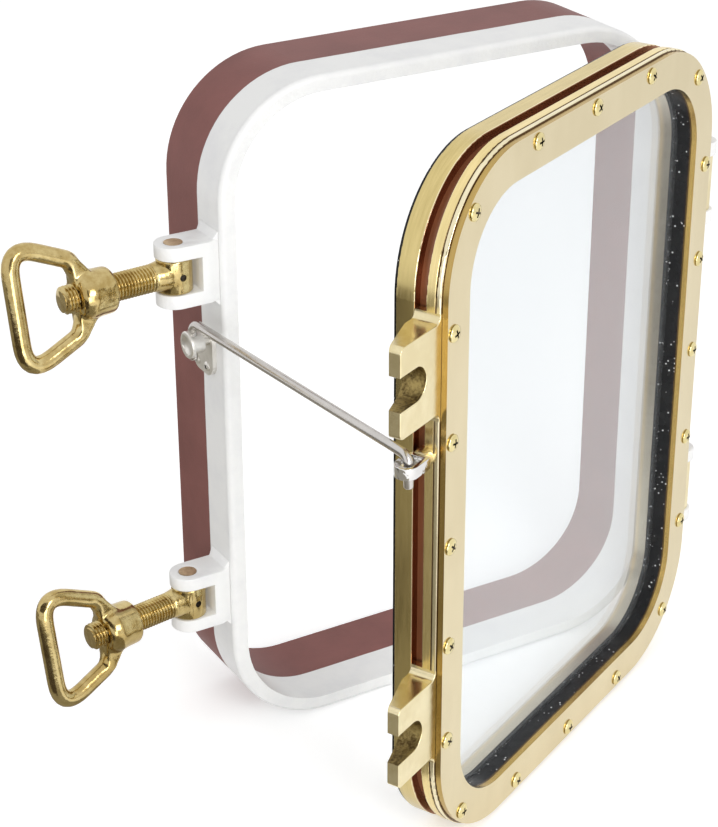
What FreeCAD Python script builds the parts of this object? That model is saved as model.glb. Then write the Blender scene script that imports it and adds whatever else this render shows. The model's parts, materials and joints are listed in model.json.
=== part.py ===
import FreeCAD, Part
import math
import os

# Rectangular opening portlight for a ship's side, held open on its hook stay.
# Millimetres. X is to the right as seen from inside the ship, Y is outboard,
# Z is up. The origin is the centre of the spigot's inboard rim.

Vector = FreeCAD.Vector
UP = Vector(0, 0, 1)
OUTBOARD = Vector(0, 1, 0)
ORIGIN = Vector(0, 0, 0)

# Cutting tools run this far past the faces that they open
OVERRUN = 1.0

# Clear light and the borders round it
LIGHT_WIDTH = 400.0
LIGHT_HEIGHT = 557.0
LIGHT_RADIUS = 70.0
RING_BORDER = 32.0            # from the clear light to the retaining ring's edge
SASH_BORDER = 34.0            # from the clear light to the sash's outer edge

# Spigot welded into the hull
SPIGOT_SIDE = 31.5            # from the clear light to the spigot's left and right
SPIGOT_END = 34.0             # from the clear light to the spigot's top and bottom
SPIGOT_CORNER = 28.0          # more than the clear light's corner radius
SPIGOT_DEPTH = 102.0
SPIGOT_WALL = 14.0
RIM_ROUNDING = 5.0

# Layers of the sash, measured back from the retaining ring's front face
RING_THICKNESS = 5.3
RING_LIP_DEPTH = 6.5
RING_LIP_WIDTH = 9.0
BEAD_END = 10.0
FRONT_BAND_END = 18.5
GROOVE_END = 28.3
SASH_DEPTH = 45.0
BEAD_ROUNDING = 1.6
BAND_ROUNDING = 1.0
GROOVE_DEPTH = 8.0
POCKET_BORDER = 14.0          # from the clear light to the wall of the glass pocket
GLASS_FRONT = 19.0
GLASS_THICKNESS = 12.0
GLASS_EDGE_GAP = 2.0
REAR_GASKET_THICKNESS = 3.0
GASKET_INSET = 0.6
BLOCK_LENGTH = 40.0

# Seal in the sash's back that meets the spigot's rim
SEAL_EDGE = 1.2               # from the sash's outer edge to the seal
SEAL_WIDTH = 15.0
SEAL_FOOT_INSET = 2.5         # the foot in the groove is narrower on both sides
SEAL_GROOVE_DEPTH = 4.0
SEAL_CLEARANCE = 0.3
SHUT_GAP = 2.5                # from the sash's back to the rim when shut

# Retaining screws
SCREW_RADIUS = 4.0
SCREW_LENGTH = 15.0
SCREW_HEAD_RADIUS = 7.75
SCREW_HEAD_HEIGHT = 3.2
SCREW_BORDER = 22.5           # from the clear light to the screws' line
SCREW_COLUMN_MARGIN = 23.3    # from the end of the straight side to the last screw
SCREW_ROW_MARGIN = 31.4
SCREW_HOLE_SPARE = 2.0
THREAD_CLEARANCE = 0.05

# Fittings on the left and right edges of the sash
FITTING_Z = 158.5             # hinges, lugs and swing bolts stand at +Z and -Z of this
LET_IN = 6.5                  # how deep lugs and hinge arms are let into the edge
RUNNING_CLEARANCE = 0.05
SIDE_CLEARANCE = 0.3

# Hinge on the right, two knuckles on one vertical axis
HINGE_OUTSET = 14.6           # from the sash's edge to the hinge axis
OPEN_ANGLE = 26.6
KNUCKLE_HEIGHT = 53.0
KNUCKLE_RADIUS = 11.0
HINGE_PIN_RADIUS = 5.0
HINGE_PIN_HEAD_RADIUS = 8.0
HINGE_PIN_HEAD_HEIGHT = 3.0
HINGE_EAR_RADIUS = 13.5
HINGE_EAR_THICKNESS = 13.0
HINGE_BRACKET_DEPTH = 58.0
HINGE_BRACKET_PLATE = 11.0

# Swing bolts on the left
BOLT_PIN_OUTSET = 36.0        # from the spigot's side to the pin
BOLT_PIN_Y = 17.5
BOLT_PIN_RADIUS = 8.0
CLEVIS_EAR_RADIUS = 16.5
CLEVIS_EAR_THICKNESS = 12.2
CLEVIS_WEB = 17.0             # thickness left behind the bolt's eye
CLEVIS_SHOULDER = 10.0
WELD_LEG = 6.0
BOLT_EYE_RADIUS = 15.5
BOLT_EYE_HEIGHT = 30.0
BOLT_RADIUS = 12.0
BOLT_NECK_RADIUS = 14.5
BOLT_NECK_START = 9.0
BOLT_NECK_END = 24.0
BOLT_LENGTH = 106.0
BOLT_CHAMFER = 2.0
UPPER_BOLT_ANGLE = 184.2      # direction of each bolt at rest, seen from above
LOWER_BOLT_ANGLE = 189.2
GRUB_RADIUS = 3.0
GRUB_DEPTH = 6.0

# Ring nut, a D-shaped handle cast in one with its nut
NUT_START = 61.0              # from the pin to the nut's bearing face
NUT_RADIUS = 18.5
NUT_LENGTH = 27.0
NUT_CHAMFER = 2.0
HANDLE_BAR_RADIUS = 7.7
HANDLE_ROOT = 16.0            # from the bearing face to where the arms leave the nut
HANDLE_ROOT_HALF = 12.0
HANDLE_NEAR = 93.0            # from the pin to the arms' elbows
HANDLE_NEAR_HALF = 32.0
HANDLE_NEAR_BEND = 12.0
HANDLE_FAR = 146.0            # from the pin to the grip's centre line
HANDLE_FAR_HALF = 55.0
HANDLE_FAR_BEND = 18.0
HANDLE_ROLL = 11.0

# Lugs on the sash that take the swing bolts
LUG_HEIGHT = 76.0
LUG_SLOT = 28.4
LUG_REACH = 56.0              # from the sash's edge to the lug's tip
LUG_TIP_THICKNESS = 10.5
LUG_SHOULDER = 14.0           # from the sash's edge to where the back starts to taper
LUG_CORNER = 5.0
LUG_FLARE = 6.0
LUG_HEEL = 7.0                # the heel in the sash's edge is longer at both ends
LUG_EDGE = 1.0

# Hook stay
STAY_OUTSET = 18.0            # from the spigot's side to the rod's axis
STAY_Y = 24.5
STAY_Z = 86.0
STAY_PLATE_WIDTH = 38.0
STAY_PLATE_HEIGHT = 43.0
STAY_PLATE_NEAR = 16.5        # from the rim to the plate
STAY_PLATE_BELOW = 34.0       # from the swivel's axis to the plate's lower edge
STAY_PLATE_THICKNESS = 4.0
STAY_PLATE_CORNER = 12.0
STAY_SCREW_NEAR_INSET = 10.5  # from the plate's edges to its screws
STAY_SCREW_FAR_INSET = 8.0
STAY_SCREW_RADIUS = 2.5
STAY_SCREW_HEAD = 4.5
STAY_SCREW_HEAD_HEIGHT = 2.0
SWIVEL_RADIUS = 9.0
SWIVEL_INNER = 7.5            # the barrel's reach either side of the rod's axis
SWIVEL_OUTER = 3.0
SWIVEL_CAP_RADIUS = 12.0
SWIVEL_CAP_THICKNESS = 3.5
SWIVEL_CAP_ROUNDING = 1.2
SWIVEL_STUB_RADIUS = 4.0
ROD_RADIUS = 4.0
ROD_BEND = 9.0
ROD_FRAME_TOP = 20.0          # the rod's centre line above the swivel's axis
ROD_FRAME_LEG = 15.0          # how far the leg reaches below the swivel's axis

# Eye for the hook on the sash's free edge
EYE_RISE = 0.5                # the eye's top above the swivel's axis
EYE_HEIGHT = 10.0
EYE_BAND = 4.0
EYE_HOLE_HALF_WIDTH = 6.0
EYE_TIP_SPACE = 9.0           # from the hook's axis to the end of the hole
EYE_SHANK_RADIUS = 4.0
EYE_SHANK_LENGTH = 14.0
EYE_BOSS_RADIUS = 8.5
EYE_BOSS_TIP_RADIUS = 7.0
EYE_BOSS_LENGTH = 8.0
HOOK_REACH = 24.0             # from the sash's edge to the hook's axis
HOOK_DEPTH = 17.5             # behind the ring's front face
HOOK_RISE = 5.0               # the rod's centre line above the eye
HOOK_LEG = 23.0               # how far the leg's end lies below the eye's top

# Values worked out from those above
LIGHT = (LIGHT_WIDTH / 2, LIGHT_HEIGHT / 2, LIGHT_RADIUS)
SPIGOT = (LIGHT[0] + SPIGOT_SIDE, LIGHT[1] + SPIGOT_END, LIGHT_RADIUS + SPIGOT_CORNER)
CLOSED_FACE_Y = -(SASH_DEPTH + SHUT_GAP)
HINGE_DEPTH = RING_THICKNESS + KNUCKLE_RADIUS
HINGE_X = LIGHT[0] + SASH_BORDER + HINGE_OUTSET
HINGE_Y = CLOSED_FACE_Y + HINGE_DEPTH
HINGE_AXIS = Vector(HINGE_X, HINGE_Y, 0)
BOLT_PIN_X = -(SPIGOT[0] + BOLT_PIN_OUTSET)
CLEVIS_GAP = BOLT_EYE_HEIGHT + 2 * SIDE_CLEARANCE
CLEVIS_HALF = CLEVIS_GAP / 2 + CLEVIS_EAR_THICKNESS
BOLT_ANGLES = {"upper": UPPER_BOLT_ANGLE, "lower": LOWER_BOLT_ANGLE}
SIDES = (("upper", 1), ("lower", -1))
STAY_X = -(SPIGOT[0] + STAY_OUTSET)
STAY_PLATE_FACE = -(SPIGOT[0] + STAY_PLATE_THICKNESS)
EYE_TOP_Z = STAY_Z + EYE_RISE


def grown(outline, step):
    """The rounded rectangle that lies a step outside another one."""
    half_x, half_z, radius = outline
    return half_x + step, half_z + step, radius + step


SASH = grown(LIGHT, SASH_BORDER)
RING = grown(LIGHT, RING_BORDER)
POCKET = grown(LIGHT, POCKET_BORDER)
PANE = grown(POCKET, -GLASS_EDGE_GAP)
SEAL = grown(SASH, -SEAL_EDGE)


def depth_y(depth):
    """The closed sash's Y at a depth behind the ring's front face."""
    return CLOSED_FACE_Y + depth


def bend(before, corner, after, radius):
    """Both ends and the arc of a tangent bend at a corner."""
    into = (before - corner).normalize()
    out = (after - corner).normalize()
    half = into.getAngle(out) / 2
    first = corner + into * (radius / math.tan(half))
    last = corner + out * (radius / math.tan(half))
    middle = corner + (into + out).normalize() * (radius / math.sin(half) - radius)
    return first, last, Part.Arc(first, middle, last).toShape()


def bent_line(points, radii, closed):
    """Straight runs through points, with a tangent bend where a radius is given."""
    count = len(points)
    edges = []
    stops = []
    for index, (point, radius) in enumerate(zip(points, radii)):
        first = last = point
        arc = None
        if radius:
            first, last, arc = bend(points[index - 1], point, points[(index + 1) % count], radius)
        stops.append((first, last, arc))
    for index, (_, last, arc) in enumerate(stops):
        if arc:
            edges.append(arc)
        if closed or index < count - 1:
            following = stops[(index + 1) % count][0]
            edges.append(Part.LineSegment(last, following).toShape())
    return Part.Wire(edges)


def outline_wire(outline, y):
    """A rounded rectangle around the Y axis."""
    half_x, half_z, radius = outline
    signs = ((1, 1), (-1, 1), (-1, -1), (1, -1))
    points = [Vector(side_x * half_x, y, side_z * half_z) for side_x, side_z in signs]
    return bent_line(points, [radius] * len(points), True)


def slab(outline, start, end):
    """A rounded rectangle as a solid between two Y values."""
    face = Part.Face(outline_wire(outline, start))
    return face.extrude(OUTBOARD * (end - start))


def edges_at(shape, y):
    """The edges of a shape that lie in the plane of one Y value."""
    found = []
    for edge in shape.Edges:
        limits = edge.BoundBox
        if abs(limits.YMin - y) < 1e-4 and abs(limits.YMax - y) < 1e-4:
            found.append(edge)
    return found


def rounded_slab(outline, start, end, rounding):
    """A slab with both outer edges rounded."""
    body = slab(outline, start, end)
    return body.makeFillet(rounding, edges_at(body, start) + edges_at(body, end))


def ring_slab(outer, inner, start, end):
    """A flat ring between two rounded rectangles."""
    return slab(outer, start, end).cut(slab(inner, start - OVERRUN, end + OVERRUN))


def prism(points, radii, length):
    """A solid that a flat outline makes when it's pushed along a length."""
    return Part.Face(bent_line(points, radii, True)).extrude(length)


def plan_prism(points, low, high):
    """An upright solid between two heights, over straight lines given as (x, y)."""
    corners = [Vector(x, y, low) for x, y in points]
    return prism(corners, [0] * len(corners), UP * (high - low))


def box(x_range, y_range, z_range):
    """A block between two values on each axis."""
    size = [end - start for start, end in (x_range, y_range, z_range)]
    corner = Vector(x_range[0], y_range[0], z_range[0])
    return Part.makeBox(size[0], size[1], size[2], corner)


def upright(radius, x, y, z_from, z_to):
    """A cylinder that stands along Z."""
    return Part.makeCylinder(radius, z_to - z_from, Vector(x, y, z_from), UP)


def along_x(radius, y, z, x_from, x_to):
    """A cylinder that lies along X."""
    return Part.makeCylinder(radius, x_to - x_from, Vector(x_from, y, z), Vector(1, 0, 0))


def along_y(radius, x, z, y_from, y_to):
    """A cylinder that lies along Y."""
    return Part.makeCylinder(radius, y_to - y_from, Vector(x, y_from, z), OUTBOARD)


def bar_along(path, radius):
    """A round bar that follows a path of lines and arcs."""
    first = path.OrderedEdges[0]
    at = first.valueAt(first.FirstParameter)
    direction = first.tangentAt(first.FirstParameter)
    section = Part.Wire(Part.makeCircle(radius, at, direction))
    return path.makePipeShell([section], True, False)


def cut_all(body, tools):
    """One body with several tools taken out of it."""
    for tool in tools:
        body = body.cut(tool)
    return body


def fuse_all(shapes):
    """Several shapes as one clean solid."""
    body = shapes[0]
    for shape in shapes[1:]:
        body = body.fuse(shape)
    return body.removeSplitter()


def opened(shape):
    """A piece of the sash, turned from shut to the angle that the stay holds."""
    turned = shape.copy()
    turned.rotate(HINGE_AXIS, UP, OPEN_ANGLE)
    return turned


def screw_places():
    """Centres of the retaining screws on the closed sash, as (x, z)."""
    column_x = LIGHT[0] + SCREW_BORDER
    row_z = LIGHT[1] + SCREW_BORDER
    straight_x = LIGHT[0] - LIGHT_RADIUS
    straight_z = LIGHT[1] - LIGHT_RADIUS
    column_pitch = (straight_z - SCREW_COLUMN_MARGIN) / 2
    row_pitch = straight_x - SCREW_ROW_MARGIN
    diagonal = (LIGHT_RADIUS + SCREW_BORDER) * math.sqrt(0.5)
    places = []
    for side in (1, -1):
        for step in range(-2, 3):
            places.append((side * column_x, step * column_pitch))
        for step in (-1, 0, 1):
            places.append((step * row_pitch, side * row_z))
        for other in (1, -1):
            places.append((side * (straight_x + diagonal), other * (straight_z + diagonal)))
    return places


def make_spigot_frame():
    """Steel spigot: a deep rounded ring with a softened inboard rim."""
    outer = slab(SPIGOT, 0, SPIGOT_DEPTH)
    outer = outer.makeFillet(RIM_ROUNDING, edges_at(outer, 0))
    return outer.cut(slab(grown(SPIGOT, -SPIGOT_WALL), -OVERRUN, SPIGOT_DEPTH + OVERRUN))


def weld_fillet(side_x, direction, y_range, half, middle):
    """Sloping weld round a fitting's root, from the spigot's side outward."""
    sections = []
    for reach, leg in ((0, WELD_LEG), (WELD_LEG, 0)):
        x = side_x + direction * reach
        low = middle - half - leg
        high = middle + half + leg
        corners = [
            Vector(x, y_range[0], low),
            Vector(x, y_range[1] + leg, low),
            Vector(x, y_range[1] + leg, high),
            Vector(x, y_range[0], high),
        ]
        sections.append(bent_line(corners, [0] * len(corners), True))
    return Part.makeLoft(sections, True, True)


def make_bolt_clevis(middle):
    """Two ears on the spigot's side that carry a swing bolt's pin."""
    bottom = middle - CLEVIS_HALF
    top = middle + CLEVIS_HALF
    side_x = -SPIGOT[0]
    near = BOLT_PIN_Y - CLEVIS_EAR_RADIUS
    far = BOLT_PIN_Y + CLEVIS_EAR_RADIUS
    points = [
        (BOLT_PIN_X, near),
        (side_x - CLEVIS_SHOULDER, near),
        (side_x, RIM_ROUNDING),
        (side_x, far),
        (BOLT_PIN_X, far),
    ]
    body = fuse_all([
        plan_prism(points, bottom, top),
        upright(CLEVIS_EAR_RADIUS, BOLT_PIN_X, BOLT_PIN_Y, bottom, top),
        weld_fillet(side_x, -1, (RIM_ROUNDING, far), CLEVIS_HALF, middle),
    ])
    gap = box(
        (BOLT_PIN_X - 2 * CLEVIS_EAR_RADIUS, side_x - CLEVIS_WEB),
        (near - OVERRUN, far + OVERRUN),
        (middle - CLEVIS_GAP / 2, middle + CLEVIS_GAP / 2),
    )
    hole = upright(BOLT_PIN_RADIUS + RUNNING_CLEARANCE, BOLT_PIN_X, BOLT_PIN_Y, bottom - OVERRUN, top + OVERRUN)
    return cut_all(body, (gap, hole))


def make_bolt_pin(middle):
    """Pin through the clevis and the swing bolt's eye, flush with the ears."""
    return upright(BOLT_PIN_RADIUS, BOLT_PIN_X, BOLT_PIN_Y, middle - CLEVIS_HALF, middle + CLEVIS_HALF)


def hinge_ear_points():
    """Plan of a hinge ear: clear of the shut sash, and down the spigot's side."""
    side_x = SPIGOT[0]
    clear_x = SASH[0] + SIDE_CLEARANCE
    clear_y = depth_y(SASH_DEPTH) + SIDE_CLEARANCE
    return [
        (side_x, RIM_ROUNDING),
        (clear_x, clear_y),
        (HINGE_X - HINGE_EAR_RADIUS, HINGE_Y),
        (HINGE_X + HINGE_EAR_RADIUS, HINGE_Y),
        (side_x + HINGE_BRACKET_PLATE, HINGE_BRACKET_DEPTH),
        (side_x, HINGE_BRACKET_DEPTH),
    ]


def make_hinge_bracket(middle):
    """Bracket on the spigot's side with an ear above and below the knuckle."""
    ear_start = KNUCKLE_HEIGHT / 2 + SIDE_CLEARANCE
    half = ear_start + HINGE_EAR_THICKNESS
    pieces = []
    for low, high in ((middle + ear_start, middle + half), (middle - half, middle - ear_start)):
        pieces.append(plan_prism(hinge_ear_points(), low, high))
        pieces.append(upright(HINGE_EAR_RADIUS, HINGE_X, HINGE_Y, low, high))
    side_x = SPIGOT[0]
    plate = box(
        (side_x, side_x + HINGE_BRACKET_PLATE),
        (RIM_ROUNDING, HINGE_BRACKET_DEPTH),
        (middle - half, middle + half),
    )
    weld = weld_fillet(side_x, 1, (RIM_ROUNDING, HINGE_BRACKET_DEPTH), half, middle)
    body = fuse_all(pieces + [plate, weld])
    bore = HINGE_PIN_RADIUS + RUNNING_CLEARANCE
    hole = upright(bore, HINGE_X, HINGE_Y, middle - half - OVERRUN, middle + half + OVERRUN)
    return body.cut(hole)


def make_hinge_pin(middle):
    """Hinge pin with a flat head on the upper ear."""
    half = KNUCKLE_HEIGHT / 2 + SIDE_CLEARANCE + HINGE_EAR_THICKNESS
    top = middle + half
    pin = upright(HINGE_PIN_RADIUS, HINGE_X, HINGE_Y, middle - half, top)
    head = upright(HINGE_PIN_HEAD_RADIUS, HINGE_X, HINGE_Y, top, top + HINGE_PIN_HEAD_HEIGHT)
    return fuse_all([pin, head])


def make_hinge_knuckle(middle):
    """Knuckle on the sash's hinge edge, with its arm let into the edge."""
    low = middle - KNUCKLE_HEIGHT / 2
    high = middle + KNUCKLE_HEIGHT / 2
    barrel = upright(KNUCKLE_RADIUS, HINGE_X, HINGE_Y, low, high)
    arm = box(
        (SASH[0] - LET_IN, HINGE_X),
        (HINGE_Y - KNUCKLE_RADIUS, HINGE_Y + KNUCKLE_RADIUS),
        (low, high),
    )
    hole = upright(HINGE_PIN_RADIUS + RUNNING_CLEARANCE, HINGE_X, HINGE_Y, low - OVERRUN, high + OVERRUN)
    return fuse_all([barrel, arm]).cut(hole)


def edge_notch(side, middle, height):
    """Room in the sash's edge for a lug or a hinge arm."""
    inner_x = side * (SASH[0] - LET_IN)
    outer_x = side * (SASH[0] + OVERRUN)
    return box(
        (min(inner_x, outer_x), max(inner_x, outer_x)),
        (depth_y(RING_THICKNESS) - OVERRUN, depth_y(GROOVE_END)),
        (middle - height / 2, middle + height / 2),
    )


def seal_foot(start, end):
    """The seal's foot, in a groove that is narrower than the seal."""
    return ring_slab(
        grown(SEAL, -SEAL_FOOT_INSET), grown(SEAL, SEAL_FOOT_INSET - SEAL_WIDTH), start, end
    )


def eye_boss():
    """Tapered boss on the sash's edge that the eye is screwed into."""
    z = EYE_TOP_Z - EYE_HEIGHT / 2
    edge_x = -SASH[0]
    root = along_x(EYE_BOSS_RADIUS, depth_y(HOOK_DEPTH), z, edge_x, edge_x + GROOVE_DEPTH)
    taper = Part.makeCone(
        EYE_BOSS_RADIUS,
        EYE_BOSS_TIP_RADIUS,
        EYE_BOSS_LENGTH,
        Vector(edge_x, depth_y(HOOK_DEPTH), z),
        Vector(-1, 0, 0),
    )
    return fuse_all([root, taper])


def make_sash_frame():
    """Cast brass sash: stepped edge bands, glass pocket, seal groove, screw holes."""
    body = fuse_all([
        rounded_slab(SASH, depth_y(RING_THICKNESS), depth_y(BEAD_END), BEAD_ROUNDING),
        rounded_slab(SASH, depth_y(BEAD_END), depth_y(FRONT_BAND_END), BAND_ROUNDING),
        slab(grown(SASH, -GROOVE_DEPTH), depth_y(RING_THICKNESS), depth_y(SASH_DEPTH)),
        rounded_slab(SASH, depth_y(GROOVE_END), depth_y(SASH_DEPTH), BAND_ROUNDING),
        eye_boss(),
    ])
    lip_front = GLASS_FRONT + GLASS_THICKNESS + REAR_GASKET_THICKNESS
    tools = [
        slab(LIGHT, depth_y(0), depth_y(SASH_DEPTH) + OVERRUN),
        slab(POCKET, depth_y(0), depth_y(lip_front)),
        seal_foot(depth_y(SASH_DEPTH) - SEAL_GROOVE_DEPTH, depth_y(SASH_DEPTH) + OVERRUN),
    ]
    hole_end = depth_y(SCREW_LENGTH + SCREW_HOLE_SPARE)
    for x, z in screw_places():
        tools.append(along_y(SCREW_RADIUS + THREAD_CLEARANCE, x, z, depth_y(0), hole_end))
    for _, sign in SIDES:
        tools.append(edge_notch(-1, sign * FITTING_Z, LUG_HEIGHT + 2 * LUG_HEEL))
        tools.append(edge_notch(1, sign * FITTING_Z, KNUCKLE_HEIGHT))
    tools.append(eye_shank(THREAD_CLEARANCE))
    return cut_all(body, tools)


def make_sash_seal():
    """Rubber seal, proud of the sash's back by what the shut gap leaves."""
    back = depth_y(SASH_DEPTH)
    proud = ring_slab(SEAL, grown(SEAL, -SEAL_WIDTH), back, -SEAL_CLEARANCE)
    return fuse_all([seal_foot(back - SEAL_GROOVE_DEPTH, back), proud])


def make_retaining_ring():
    """Flat ring over the sash with a lip that holds the front gasket."""
    lip_outer = grown(LIGHT, RING_LIP_WIDTH)
    back = depth_y(RING_THICKNESS)
    plate = ring_slab(RING, LIGHT, depth_y(0), back)
    lip = ring_slab(lip_outer, LIGHT, back - OVERRUN, depth_y(RING_LIP_DEPTH))
    holes = []
    for x, z in screw_places():
        holes.append(along_y(SCREW_RADIUS + THREAD_CLEARANCE, x, z, depth_y(0) - OVERRUN, back + OVERRUN))
    return cut_all(fuse_all([plate, lip]), holes)


def make_ring_screws():
    """Raised-head screws that clamp the retaining ring to the sash."""
    sphere_radius = (SCREW_HEAD_RADIUS ** 2 + SCREW_HEAD_HEIGHT ** 2) / (2 * SCREW_HEAD_HEIGHT)
    head_front = depth_y(0) - SCREW_HEAD_HEIGHT
    screws = []
    for x, z in screw_places():
        centre = Vector(x, head_front + sphere_radius, z)
        ball = Part.makeSphere(sphere_radius, centre, -OUTBOARD, 0, 90, 360)
        head = ball.common(along_y(SCREW_HEAD_RADIUS, x, z, head_front - OVERRUN, depth_y(0)))
        shank = along_y(SCREW_RADIUS, x, z, depth_y(0), depth_y(SCREW_LENGTH))
        screws.append(fuse_all([head, shank]))
    return Part.makeCompound(screws)


def make_glass_pane():
    """Toughened glass, clear of the pocket's wall all round."""
    return slab(PANE, depth_y(GLASS_FRONT), depth_y(GLASS_FRONT + GLASS_THICKNESS))


def make_front_gasket():
    """Rubber gasket between the ring's lip and the glass."""
    return ring_slab(PANE, grown(LIGHT, GASKET_INSET), depth_y(RING_LIP_DEPTH), depth_y(GLASS_FRONT))


def make_rear_gasket():
    """Rubber bed between the glass and the sash's rear lip."""
    start = depth_y(GLASS_FRONT + GLASS_THICKNESS)
    return ring_slab(PANE, grown(LIGHT, GASKET_INSET), start, start + REAR_GASKET_THICKNESS)


def make_setting_blocks():
    """Packers that carry the glass's edge in the pocket."""
    y_range = (depth_y(GLASS_FRONT), depth_y(GLASS_FRONT + GLASS_THICKNESS))
    half = BLOCK_LENGTH / 2
    row_x = LIGHT[0] - LIGHT_RADIUS - SCREW_ROW_MARGIN
    blocks = []
    for sign in (1, -1):
        z_ends = sorted((sign * PANE[1], sign * POCKET[1]))
        x_ends = sorted((sign * PANE[0], sign * POCKET[0]))
        for x in (-row_x, row_x):
            blocks.append(box((x - half, x + half), y_range, z_ends))
        blocks.append(box(x_ends, y_range, (-half, half)))
    return Part.makeCompound(blocks)


def make_bolt_lug(middle):
    """Forked lug on the sash's free edge, open to the side for the swing bolt."""
    edge_x = -SASH[0]
    root_x = edge_x + LET_IN
    tip_x = edge_x - LUG_REACH
    front = depth_y(RING_THICKNESS)
    back = depth_y(GROOVE_END)
    half = LUG_HEIGHT / 2
    half_turn = [
        (root_x, half + LUG_HEEL, 0),
        (edge_x, half + LUG_HEEL, 0),
        (edge_x, half, LUG_FLARE),
        (tip_x, half, LUG_CORNER),
    ]
    other_turn = [(x, -z, radius) for x, z, radius in reversed(half_turn)]
    corners = half_turn + other_turn
    points = [Vector(x, front, middle + z) for x, z, _ in corners]
    body = prism(points, [radius for _, _, radius in corners], OUTBOARD * (back - front))
    slot_end = along_y(LUG_SLOT / 2, BOLT_PIN_X, middle, front - OVERRUN, back + OVERRUN)
    slot = box(
        (tip_x - OVERRUN, BOLT_PIN_X),
        (front - OVERRUN, back + OVERRUN),
        (middle - LUG_SLOT / 2, middle + LUG_SLOT / 2),
    )
    taper = plan_prism(
        [
            (edge_x - LUG_SHOULDER, back),
            (tip_x, front + LUG_TIP_THICKNESS),
            (tip_x - LUG_HEIGHT, front + LUG_TIP_THICKNESS),
            (tip_x - LUG_HEIGHT, back + OVERRUN),
            (edge_x - LUG_SHOULDER, back + OVERRUN),
        ],
        middle - LUG_HEIGHT,
        middle + LUG_HEIGHT,
    )
    body = cut_all(body, (slot_end, slot, taper))
    exposed = [edge for edge in edges_at(body, front) if edge.BoundBox.XMax < edge_x - LUG_FLARE]
    return body.makeFillet(LUG_EDGE, exposed)


def hook_in_shut_sash():
    """The hook's axis in the shut sash."""
    return Vector(-SASH[0] - HOOK_REACH, depth_y(HOOK_DEPTH), 0)


def hook_place(z):
    """A point on the hook's axis in the open sash, at a height."""
    turn = FreeCAD.Rotation(UP, OPEN_ANGLE)
    place = HINGE_AXIS + turn.multVec(hook_in_shut_sash() - HINGE_AXIS)
    return Vector(place.x, place.y, z)


def eye_shank(clearance):
    """The eye's threaded shank in the sash's edge, or its hole."""
    start = -SASH[0] - EYE_BOSS_LENGTH
    z = EYE_TOP_Z - EYE_HEIGHT / 2
    end = start + EYE_SHANK_LENGTH
    return along_x(EYE_SHANK_RADIUS + clearance, depth_y(HOOK_DEPTH), z, start - clearance, end + clearance)


def make_stay_eye():
    """Eye with a long hole that the stay's hook drops into."""
    hook = hook_in_shut_sash()
    low = EYE_TOP_Z - EYE_HEIGHT
    centre_far = hook.x - EYE_TIP_SPACE + EYE_HOLE_HALF_WIDTH
    root_x = -SASH[0] - EYE_BOSS_LENGTH
    outer = EYE_HOLE_HALF_WIDTH + EYE_BAND
    band = fuse_all([
        upright(outer, centre_far, hook.y, low, EYE_TOP_Z),
        box((centre_far, root_x), (hook.y - outer, hook.y + outer), (low, EYE_TOP_Z)),
    ])
    hole_range = (low - OVERRUN, EYE_TOP_Z + OVERRUN)
    hole = fuse_all([
        upright(EYE_HOLE_HALF_WIDTH, centre_far, hook.y, hole_range[0], hole_range[1]),
        box(
            (centre_far, root_x - EYE_BAND),
            (hook.y - EYE_HOLE_HALF_WIDTH, hook.y + EYE_HOLE_HALF_WIDTH),
            hole_range,
        ),
    ])
    return fuse_all([band.cut(hole), eye_shank(0)])


def bolt_frame(shape, name, sign):
    """Place a piece made along +X from the pin onto its swing bolt at rest."""
    placed = shape.copy()
    placed.rotate(ORIGIN, UP, BOLT_ANGLES[name])
    placed.translate(Vector(BOLT_PIN_X, BOLT_PIN_Y, sign * FITTING_Z))
    return placed


def cone_on_x(radius_from, radius_to, x_from, x_to):
    """A cone on the X axis."""
    return Part.makeCone(radius_from, radius_to, x_to - x_from, Vector(x_from, 0, 0), Vector(1, 0, 0))


def make_swing_bolt():
    """Swing bolt: a drilled eye, a tapered neck and the threaded shank."""
    body = fuse_all([
        upright(BOLT_EYE_RADIUS, 0, 0, -BOLT_EYE_HEIGHT / 2, BOLT_EYE_HEIGHT / 2),
        cone_on_x(BOLT_NECK_RADIUS, BOLT_RADIUS, BOLT_NECK_START, BOLT_NECK_END),
        along_x(BOLT_RADIUS, 0, 0, BOLT_NECK_END, BOLT_LENGTH - BOLT_CHAMFER),
        cone_on_x(BOLT_RADIUS, BOLT_RADIUS - BOLT_CHAMFER, BOLT_LENGTH - BOLT_CHAMFER, BOLT_LENGTH),
    ])
    hole = upright(BOLT_PIN_RADIUS + RUNNING_CLEARANCE, 0, 0, -BOLT_EYE_HEIGHT, BOLT_EYE_HEIGHT)
    grub_hole = along_y(GRUB_RADIUS + THREAD_CLEARANCE, 0, 0, 0, BOLT_EYE_RADIUS + OVERRUN)
    return cut_all(body, (hole, grub_hole))


def make_grub_screw():
    """Grub screw in the side of the bolt's eye, clear of the pin."""
    start = BOLT_PIN_RADIUS + RUNNING_CLEARANCE + SIDE_CLEARANCE
    return along_y(GRUB_RADIUS, 0, 0, start, start + GRUB_DEPTH)


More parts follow.
